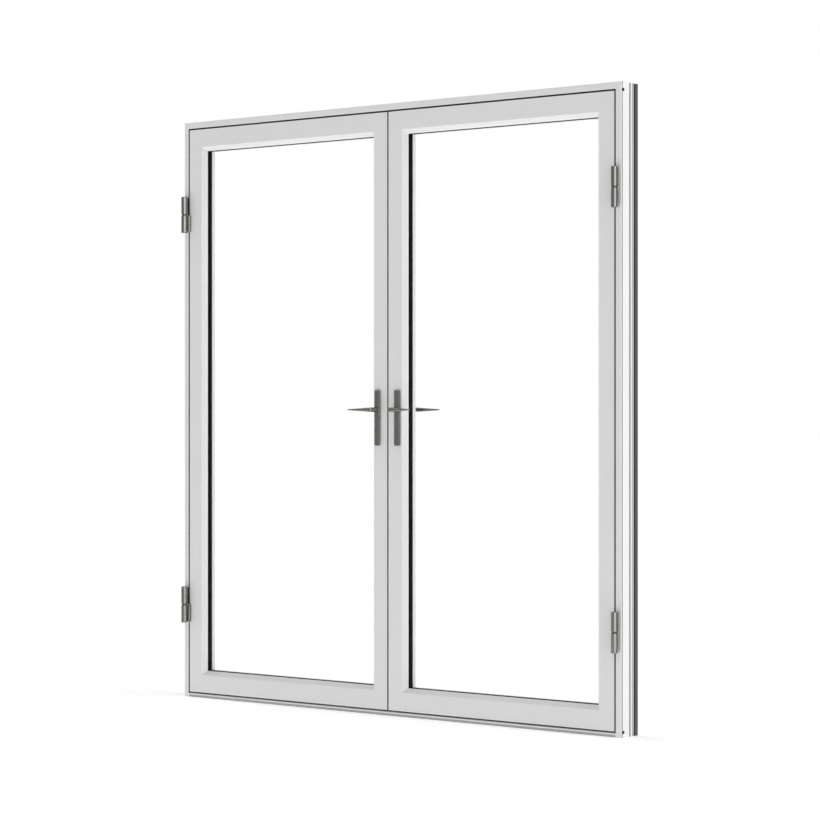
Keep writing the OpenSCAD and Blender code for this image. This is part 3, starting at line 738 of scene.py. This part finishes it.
    def screw(self, place: Matrix, radius: float) -> None:
        """Adds a countersunk screw head with a socket; it faces the place's Z.

        Args:
            place: where the head's rim lies and which way it faces.
            radius: the head's radius.
        """
        start = bmesh.ops.create_circle(self.mesh, cap_ends=True, segments=self.SCREW_CORNERS,
                                        radius=radius)["verts"]
        cap = start[0].link_faces[0]
        for inset, lift in self.SCREW_STEPS:
            bmesh.ops.inset_region(self.mesh, faces=[cap], thickness=inset * radius, depth=0.0)
            bmesh.ops.translate(self.mesh, verts=cap.verts, vec=(0, 0, lift * radius))
        bmesh.ops.transform(self.mesh, matrix=place, verts=self._linked(start))


# The door's details


@dataclass
class LeverHandle:
    """One smooth lever in place of its faceted solid."""

    side: Side
    face: Face
    neck_radius: float = 8.0 * MM
    foot: float = 2.0 * MM
    hub_out: float = 46.0 * MM
    chamfer: float = 4.0 * MM
    soft: float = 0.6 * MM
    root_out: float = 39.5 * MM
    root_half: Point = (7.7 * MM, 6.5 * MM)
    tip_out: float = 48.0 * MM
    tip_half: Point = (2.0 * MM, 3.0 * MM)
    tip_round: tuple[Point, ...] = ((0.9 * MM, 0.8), (1.4 * MM, 0.5), (1.6 * MM, 0.2))
    length: float = 97.0 * MM

    @property
    def node(self) -> str:
        """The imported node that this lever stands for."""
        return f"{self.face.word}_lever_{self.side.word}"

    def place(self) -> Matrix:
        """The lever's own frame: X along the arm, Z away from the leaf.

        Returns:
            The matrix.
        """
        low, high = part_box(f"spindle_{self.side.word}")
        middle = (low + high) / 2
        if self.face is Face.OUTER:
            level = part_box(f"leaf_cladding_{self.side.word}")[0].y
        else:
            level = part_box(f"lock_stile_{self.side.word}")[1].y
        axes = Matrix(((self.side.value, 0, 0), (0, 0, self.face.value), (0, 1, 0))).to_4x4()
        return Matrix.Translation((middle.x, level, middle.z)) @ axes

    def build(self, paint: Paintbox) -> None:
        """Makes the neck, the hub and the arm.

        Args:
            paint: where its material comes from.
        """
        piece = Piece(f"{self.node}_cast", f"lever_{self.side.word}", "grey_metal")
        place, soft = self.place(), self.soft
        shoulder, top = self.hub_out - self.chamfer, self.neck_radius - self.chamfer
        piece.turn([
            (0.0, self.foot), (self.neck_radius, self.foot), (self.neck_radius, shoulder - soft),
            (self.neck_radius - 0.25 * soft, shoulder + 0.3 * soft), (top + soft, self.hub_out - soft),
            (top, self.hub_out - 0.15 * soft), (0.0, self.hub_out),
        ], place)
        piece.loft(self.stations(), place)
        piece.finish(paint, [self.node], Smooth.CAST)

    def stations(self, count: int = 14) -> list[Sequence[float]]:
        """The arm's ovals from the spindle to the tip.

        Args:
            count: how many there are before the rounded tip.

        Returns:
            The stations for Piece.loft.
        """
        end = self.length - self.tip_round[-1][0]
        root = Vector((0.0, self.root_out, *self.root_half))
        tip = Vector((end, self.tip_out, *self.tip_half))
        made: list[Sequence[float]] = [root.lerp(tip, step / (count - 1)) for step in range(count)]
        for out, size in self.tip_round:
            made.append((end + out, self.tip_out, *(size * half for half in self.tip_half)))
        return made


@dataclass
class WeatherSeal:
    """The frame's seal as a hollow-looking bulb on a flat foot, in place of its plain ring."""

    node: str = "frame_seal"
    width: float = 8.0 * MM
    foot_share: float = 0.3
    bulb_half: float = 0.46
    steps: int = 12

    def build(self, paint: Paintbox) -> None:
        """Runs the bulb round the doorway.

        Args:
            paint: where its material comes from.
        """
        low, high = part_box(self.node)
        depth = high.y - low.y
        stand = (1.0 - self.foot_share) * depth
        turns = (math.pi * step / self.steps for step in range(self.steps + 1))
        bulb = [(self.width * (0.5 - self.bulb_half * math.cos(turn)), stand * (1.0 - math.sin(turn)))
                for turn in turns]
        piece = Piece("frame_seal_bulb", "frame", "black_rubber")
        piece.ring([(0.0, depth), (0.0, stand), *bulb, (self.width, stand), (self.width, depth)], low, high)
        piece.finish(paint, [self.node], Smooth.RUBBER)


@dataclass
class GlazingSeal:
    """The outer gasket as a soft lip that leans on the glass, in place of its plain ring."""

    side: Side
    width: float = 11.2 * MM
    lip: float = 1.2 * MM
    curve: tuple[Point, ...] = ((2.4, 0.0), (1.2, 0.02), (0.5, 0.15), (0.12, 0.5), (0.0, 0.85))

    def build(self, paint: Paintbox) -> None:
        """Runs the lip round the pane.

        Args:
            paint: where its material comes from.
        """
        node = f"glazing_gasket_{self.side.word}"
        low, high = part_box(node)
        depth = high.y - low.y
        front = [(self.width - back * self.lip, deep * depth) for back, deep in self.curve]
        piece = Piece(f"{node}_lip", f"leaf_{self.side.word}", "black_rubber")
        piece.ring([(0.0, 0.0), *front, (self.width, depth), (0.0, depth)], low, high)
        piece.finish(paint, [node], Smooth.RUBBER)


@dataclass
class GapSeals:
    """Black rubber lips that paint the shade in the gaps: one on the frame's reveal and one round each
    leaf's edge.

    Each wraps a little over the front of the edge that holds it.
    """

    back: float = 8.2 * MM
    wrap: float = 0.5 * MM
    proud: float = 0.12 * MM
    slight: float = 0.2 * MM
    soft: float = 0.9 * MM
    frame_lip: float = 1.5 * MM
    leaf_lip: float = 0.9 * MM

    def profile(self, lip: float) -> list[Point]:
        """A lip's section: inset from its edge, and depth.

        Args:
            lip: how far it stands into the gap, below 0 for outwards.

        Returns:
            The closed loop.
        """
        over = -math.copysign(self.wrap, lip)
        return [(over, self.slight), (over, -0.5 * self.proud), (0.8 * over, -self.proud),
                (0.65 * lip, -self.proud), (lip, self.soft), (lip, self.back - self.soft),
                (0.65 * lip, self.back - self.slight), (0.0, self.back), (0.0, self.slight)]

    def build(self, paint: Paintbox) -> None:
        """Runs the lips.

        Args:
            paint: where their material comes from.
        """
        # The black lips are painted shade for the gaps round and between the leaves.
        left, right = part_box("leaf_cladding_left"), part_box("leaf_cladding_right")
        beside = Vector((GAP, 0.0, GAP))
        piece = Piece("reveal_seal", "frame", "black_rubber")
        piece.arch(self.profile(self.frame_lip), left[0] - beside, right[1] + beside)
        piece.finish(paint, smooth=Smooth.RUBBER)
        for side, (low, high) in ((Side.LEFT, left), (Side.RIGHT, right)):
            piece = Piece(f"edge_seal_{side.word}", f"leaf_{side.word}", "black_rubber")
            piece.ring(self.profile(-self.leaf_lip), low, high)
            piece.finish(paint, smooth=Smooth.RUBBER)


@dataclass(frozen=True)
class Strip:
    """A strip along the frame's outer sides.

    Its front and back are measured from the frame's front, its bed is a depth in the frame's side, its
    edge is the width of the rounded edges, and its end is how far it stops short of the jamb's ends.
    """

    front: float
    back: float
    bed: float
    thick: float
    edge: float
    end: float = 1.0 * MM

    def along_jambs(self, piece: Piece, low: Vector, high: Vector) -> None:
        """Adds the strip to both jambs.

        Args:
            piece: the piece that it belongs to.
            low: the frame's lowest corner.
            high: its highest corner.
        """
        for side in Side:
            near, far = sorted(side.value * (high.x - deep) for deep in (self.bed, self.bed - self.thick))
            piece.slab((near, low.y + self.front, low.z + self.end),
                       (far, low.y + self.back, high.z - self.end), self.edge)

    def along_head(self, piece: Piece, low: Vector, high: Vector, inset: float) -> None:
        """Adds the strip to the head.

        Args:
            piece: the piece that it belongs to.
            low: the frame's lowest corner.
            high: its highest corner.
            inset: how far from the frame's sides it ends.
        """
        bottom = high.z - self.bed
        piece.slab((low.x + inset, low.y + self.front, bottom),
                   (high.x - inset, low.y + self.back, bottom + self.thick), self.edge)


@dataclass
class FrameSideTrim:
    """What lies on the frame's outer sides: a mid-grey strip that paints the groove's shade, a light-grey
    sheet on the band, a seam, and dark fins that paint shade on the rear strips' slopes.
    """

    groove: Strip = Strip(41.3 * MM, 49.7 * MM, 3.0 * MM, 0.9 * MM, 0.27 * MM)
    band: Strip = Strip(56.3 * MM, 67.7 * MM, 2.0 * MM, 0.5 * MM, 0.15 * MM)
    # Dark slabs that paint shade on the slopes of the rear strips
    fins: tuple[Strip, ...] = (Strip(70.5 * MM, 75.0 * MM, 2.4 * MM, 2.05 * MM, 0.5 * MM, 2.0 * MM),
                               Strip(83.4 * MM, 88.0 * MM, 2.4 * MM, 2.05 * MM, 0.5 * MM, 2.0 * MM))
    head_end: float = 23.5 * MM
    seam: Point = (3.0 * MM, 6.2 * MM)
    seam_proud: float = 0.14 * MM
    seam_sunk: float = 0.1 * MM
    seam_edge: float = 0.3 * MM

    def build(self, paint: Paintbox) -> None:
        """Makes the groove's painted-shade strips, the band's grey sheets, the seam behind the clad front
        and the painted-shade fins on the rear strips' slopes.

        Args:
            paint: where their materials come from.
        """
        low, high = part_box("frame_cladding")
        look = paint.palette
        # The groove's strip paints its shade; the band's sheet makes the band darker than the side.
        for name, slot, strip, coat in (("groove_strips", "dark_plastic", self.groove, look.groove_strip),
                                        ("band_tapes", "white_tape", self.band, look.band_tape)):
            piece = Piece(name, "frame", slot)
            strip.along_jambs(piece, low, high)
            strip.along_head(piece, low, high, self.head_end)
            piece.finish(paint, coat=coat)
        (front, back), edge = self.seam, self.seam_edge
        seam = Piece("cladding_seam", "frame", "black_rubber")
        seam.arch([(self.seam_sunk, front), (-self.seam_proud, front + edge),
                   (-self.seam_proud, back - edge), (self.seam_sunk, back)], low, high)
        seam.finish(paint)
        # Dark fins paint the shade on the slopes of the rear strips.
        fins = Piece("strip_fins", "frame", "dark_plastic")
        for fin in self.fins:
            fin.along_jambs(fins, low, high)
        fins.finish(paint, coat=look.fin)


@dataclass
class HingeTrim:
    """Caps on the knuckles' ends and screws in the flanges of one side's hinges."""

    side: Side
    knuckle: float = 62.5 * MM
    radius: float = 9.6 * MM
    cap: float = 1.2 * MM
    cap_curve: tuple[Point, ...] = ((1.0, 0.0), (1.0, 0.3), (0.9, 0.75), (0.7, 1.0), (0.0, 1.0))
    screw_radius: float = 3.4 * MM
    screws_at: tuple[Point, ...] = ((0.2, 12.0 * MM), (0.5, 24.0 * MM), (0.8, 12.0 * MM))

    def build(self, paint: Paintbox) -> None:
        """Makes the caps and the screws of both hinges.

        Args:
            paint: where their materials come from.
        """
        leaf, axis = f"leaf_{self.side.word}", self.axis()
        frame_caps = Piece(f"hinge_caps_frame_{self.side.word}", "frame", "grey_metal")
        leaf_caps = Piece(f"hinge_caps_leaf_{self.side.word}", leaf, "grey_metal")
        frame_low, frame_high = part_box("frame_hinges")
        leaf_low, leaf_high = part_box(f"leaf_hinges_{self.side.word}")
        rise = leaf_high.z - leaf_low.z - self.knuckle
        profile = [(out * self.radius, up * self.cap) for out, up in self.cap_curve]
        for lift in (0.0, rise):
            frame_caps.turn(profile, facing((axis.x, axis.y, frame_high.z - rise + lift), (0, 0, 1)))
            leaf_caps.turn(profile, facing((axis.x, axis.y, leaf_low.z + lift), (0, 0, -1)))
        frame_caps.finish(paint)
        leaf_caps.finish(paint)
        self.flange_screws(paint, frame_low.z, rise, "frame")
        self.flange_screws(paint, leaf_low.z, rise, leaf)

    def axis(self) -> Vector:
        """The hinge axis, from the pins.

        Returns:
            A point on it.
        """
        low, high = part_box("hinge_pins")
        half = (high.x - low.x) / 2 - (high.y - low.y) / 2
        return Vector((self.side.value * half, (low.y + high.y) / 2, 0.0))

    def flange_screws(self, paint: Paintbox, low: float, rise: float, body: str) -> None:
        """Puts screws into the flanges that lie in the gap.

        Args:
            paint: where their material comes from.
            low: the lower end of the lower hinge's half.
            rise: the distance from the lower hinge to the upper one.
            body: the body whose flanges they hold.
        """
        leaf_low, leaf_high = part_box(f"hinge_stile_{self.side.word}")
        edge = leaf_high.x if self.side is Side.RIGHT else leaf_low.x
        way = self.side.value
        if body == "frame":
            edge, way = edge + self.side.value * GAP, -way
        piece = Piece(f"flange_screws_{body}_{self.side.word}", body, "bright_steel")
        for lift in (0.0, rise):
            for share, deep in self.screws_at:
                at = (edge, leaf_low.y + deep, low + lift + share * self.knuckle)
                piece.screw(facing(at, (way, 0, 0)), self.screw_radius)
        piece.finish(paint, smooth=Smooth.SCREW)


@dataclass
class LockTrim:
    """Screws in one leaf's long faceplate and in its keepers."""

    side: Side
    count: int = 9
    radius: float = 3.2 * MM
    plate_end: float = 34.0 * MM
    keepers_at: Point = (36.0 * MM, 56.0 * MM)

    def build(self, paint: Paintbox) -> None:
        """Makes the screws.

        Args:
            paint: where their material comes from.
        """
        low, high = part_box(f"lock_faceplate_{self.side.word}")
        edge = low.x if self.side is Side.RIGHT else high.x
        middle = (low.y + high.y) / 2
        plate = Piece(f"faceplate_screws_{self.side.word}", f"leaf_{self.side.word}", "bright_steel")
        first, last = low.z + self.plate_end, high.z - self.plate_end
        for step in range(self.count):
            at = (edge, middle, first + (last - first) * step / (self.count - 1))
            plate.screw(facing(at, (-self.side.value, 0, 0)), self.radius)
        plate.finish(paint, smooth=Smooth.SCREW)
        self.keeper_screws(paint, middle)

    def keeper_screws(self, paint: Paintbox, middle: float) -> None:
        """Puts a screw into each keeper, beside the bolt's hole.

        Args:
            paint: where their material comes from.
            middle: the keepers' middle depth.
        """
        low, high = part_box(f"hinge_stile_{self.side.word}")
        piece = Piece(f"keeper_screws_{self.side.word}", "frame", "bright_steel")
        for level, way in ((low.z - GAP, 1), (high.z + GAP, -1)):
            for x in self.keepers_at:
                piece.screw(facing((self.side.value * x, middle, level), (0, 0, way)), self.radius)
        piece.finish(paint, smooth=Smooth.SCREW)


@dataclass
class ThresholdTrim:
    """Grip ribs along the threshold's plate, before and behind the bolts' keepers."""

    depths: tuple[float, ...] = (7.0 * MM, 11.0 * MM, 43.0 * MM, 47.5 * MM, 52.0 * MM)
    width: float = 2.2 * MM
    height: float = 1.0 * MM
    sunk: float = 0.3 * MM
    edge: float = 0.77 * MM
    end: float = 4.0 * MM

    def build(self, paint: Paintbox) -> None:
        """Makes the ribs.

        Args:
            paint: where their material comes from.
        """
        low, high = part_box("threshold")
        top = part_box("hinge_stile_left")[0].z - GAP
        piece = Piece("threshold_ribs", "frame", "coated_aluminium")
        for depth in self.depths:
            piece.slab((low.x + self.end, low.y + depth - self.width / 2, top - self.sunk),
                       (high.x - self.end, low.y + depth + self.width / 2, top + self.height), self.edge)
        piece.finish(paint)


@dataclass
class KeyTrim:
    """A turned ring round the key barrel and a black slab of painted keyhole shade on both faces of one
    leaf.
    """

    side: Side
    inner: float = 6.1 * MM
    outer: float = 7.6 * MM
    stand: float = 0.9 * MM
    deep: float = 2.6 * MM
    sunk: float = 0.6 * MM
    slot_half: Point = (0.9 * MM, 3.4 * MM)
    slot_proud: float = 0.12 * MM

    def build(self, paint: Paintbox) -> None:
        """Makes the two rings and the two black slabs of painted keyhole shade.

        Args:
            paint: where their materials come from.
        """
        low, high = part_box(f"key_barrel_{self.side.word}")
        middle = (low + high) / 2
        rings = Piece(f"key_rings_{self.side.word}", f"leaf_{self.side.word}", "grey_metal")
        # Black slabs paint the shade inside the keyholes.
        slots = Piece(f"key_slots_{self.side.word}", f"leaf_{self.side.word}", "black_plastic")
        crown = 0.6 * self.outer + 0.4 * self.inner
        profile = [(self.inner, -self.deep), (self.outer, -self.deep), (self.outer, 0.5 * self.stand),
                   (crown, self.stand), (self.inner, 0.7 * self.stand), (self.inner, -self.deep)]
        half = Vector((self.slot_half[0], self.slot_proud, self.slot_half[1]))
        for face, level in ((Face.OUTER, low.y), (Face.INNER, high.y)):
            at = (middle.x, level - self.sunk * face.value, middle.z)
            rings.turn(profile, facing(at, (0, face.value, 0)))
            end = Vector((middle.x, level, middle.z))
            slots.slab(end - half, end + half, 0.4 * self.slot_proud)
        rings.finish(paint, smooth=Smooth.CAST)
        slots.finish(paint)


# Stage


@dataclass
class Studio:
    """The pale floor, the light and the camera.

    The floor and the world are white to the eye. To gloss, the room has a dim patch in one direction
    and in the opposite one, and a bright patch in another; the floor shows them from some way out.
    """

    lens: float = 122.9
    sensor: float = 36.0
    far_clip: float = 200.0
    eye: Triple = (6.363, -7.181, 1.044)
    gaze: Triple = (-0.6596, 0.7516, 0.0)
    all_round: float = 1.7
    front_less: float = 2.08
    floor_half: float = 60.0
    floor_tone: float = 0.9
    floor_glow: float = 0.58
    floor_seen: float = 0.28
    floor_room: Point = (2.0, 5.0)
    gloss_dim: float = 0.58
    dim_way: Triple = (-0.5, -0.866, 0.0)
    dim_edge: Point = (0.33, 0.7)
    gloss_more: float = 1.9
    bright_way: Triple = (0.883, -0.469, 0.0)
    bright_edge: Point = (0.88, 0.96)
    lamp_at: Triple = (4.8, 1.5, 2.0)
    lamp_size: float = 3.0
    lamp_power: float = 22.0

    def build(self) -> None:
        """Sets the floor, the world, the lamp and the camera."""
        self.floor()
        self.world()
        self.lamp()
        self.camera()
        bpy.context.scene.view_settings.view_transform = "Standard"

    def floor(self) -> None:
        """A wide pale floor under the door."""
        mesh = bmesh.new()
        bmesh.ops.create_grid(mesh, x_segments=1, y_segments=1, size=self.floor_half)
        data = bpy.data.meshes.new("floor")
        mesh.to_mesh(data)
        mesh.free()
        data.materials.append(self.floor_paint())
        add_object("floor", data)

    def floor_paint(self) -> bpy.types.Material:
        """Matt white that also glows a little, less to the eye than to the door.

        Returns:
            The material.
        """
        paint = bpy.data.materials.new("floor_pale")
        paint.use_nodes = True
        graph = Graph(paint.node_tree)
        matt = graph.wire("ShaderNodeBsdfDiffuse", None, {"Color": grey(self.floor_tone)})
        seen = graph.rays("Camera", "Glossy", "Transmission")
        glow = graph.glow(self.floor_glow + (self.floor_seen - self.floor_glow) * seen)
        lit = graph.wire("ShaderNodeAddShader", None, {0: matt, 1: glow})
        here = graph.wire("ShaderNodeTexCoord", output="Object")
        way = graph.wire("ShaderNodeVectorMath", {"operation": "NORMALIZE"}, {0: here})
        out = graph.wire("ShaderNodeVectorMath", {"operation": "LENGTH"}, {0: here}, "Value")
        room = graph.glow(self.gloss_tone(graph, way))
        share = graph.rays("Glossy") * graph.ramp(out, self.floor_room)
        surface = graph.wire("ShaderNodeMixShader", None, {0: share, 1: lit, 2: room})
        graph.node("ShaderNodeOutputMaterial", None, {"Surface": surface})
        return paint

    def gloss_tone(self, graph: Graph, way: Wire) -> Wire:
        """How bright the room is to gloss.

        Args:
            graph: the graph to build in.
            way: the direction looked in.

        Returns:
            The brightness.
        """
        near_dim, near_bright = (
            graph.wire("ShaderNodeVectorMath", {"operation": "DOT_PRODUCT"}, {0: way, 1: middle}, "Value")
            for middle in (self.dim_way, self.bright_way))
        dim = graph.ramp(near_dim.magnitude(), self.dim_edge)
        bright = graph.ramp(near_bright, self.bright_edge)
        return 1.0 - self.gloss_dim * dim + self.gloss_more * bright

    def world(self) -> None:
        """White to the eye, soft light weaker from front and back, and the room's tones for gloss."""
        world = bpy.data.worlds.new("studio")
        bpy.context.scene.world = world
        world.use_nodes = True
        graph = Graph(world.node_tree)
        way = graph.wire("ShaderNodeTexCoord", output="Generated")
        along = graph.wire("ShaderNodeSeparateXYZ", None, {0: way}, "Y")
        soft = (self.all_round - self.front_less * along.magnitude()).at_least(0.0)
        gloss = self.gloss_tone(graph, way)
        seen, mirrored = graph.rays("Camera", "Transmission"), graph.rays("Glossy")
        light = seen + (1.0 - seen) * (mirrored * gloss + (1.0 - mirrored) * soft)
        surface = graph.wire("ShaderNodeBackground", None, {"Color": WHITE, "Strength": light})
        graph.node("ShaderNodeOutputWorld", None, {"Surface": surface})

    def lamp(self) -> None:
        """A soft lamp for the pale outer side of the frame; gloss doesn't show it."""
        data = bpy.data.lights.new("soft_side", "AREA")
        data.size = self.lamp_size
        data.energy = self.lamp_power
        made = add_object("soft_side", data)
        made.visible_camera = made.visible_glossy = False
        made.matrix_world = facing(self.lamp_at, Vector(self.lamp_at) - Vector((0.0, 0.0, self.eye[2])))

    def camera(self) -> None:
        """The camera at the photograph's place."""
        data = bpy.data.cameras.new("camera")
        data.lens = self.lens
        data.sensor_width = self.sensor
        data.clip_end = self.far_clip
        made = add_object("camera", data)
        turn = Vector(self.gaze).to_track_quat("-Z", "Y").to_matrix().to_4x4()
        made.matrix_world = Matrix.Translation(Vector(self.eye)) @ turn
        bpy.context.scene.camera = made


def main() -> None:
    """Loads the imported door, dresses it and sets the stage."""
    logging.basicConfig(level=logging.INFO, format="%(name)s: %(message)s")
    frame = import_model()
    paint = Paintbox()
    paint.dress_nodes(frame)
    builders: list[Callable[[Paintbox], None]] = [
        WeatherSeal().build, ThresholdTrim().build, GapSeals().build, FrameSideTrim().build]
    for side in Side:
        builders += [LeverHandle(side, face).build for face in Face]
        builders += [GlazingSeal(side).build, HingeTrim(side).build, LockTrim(side).build,
                     KeyTrim(side).build]
    for build in builders:
        build(paint)
    Studio().build()


if __name__ == "__main__":
    main()
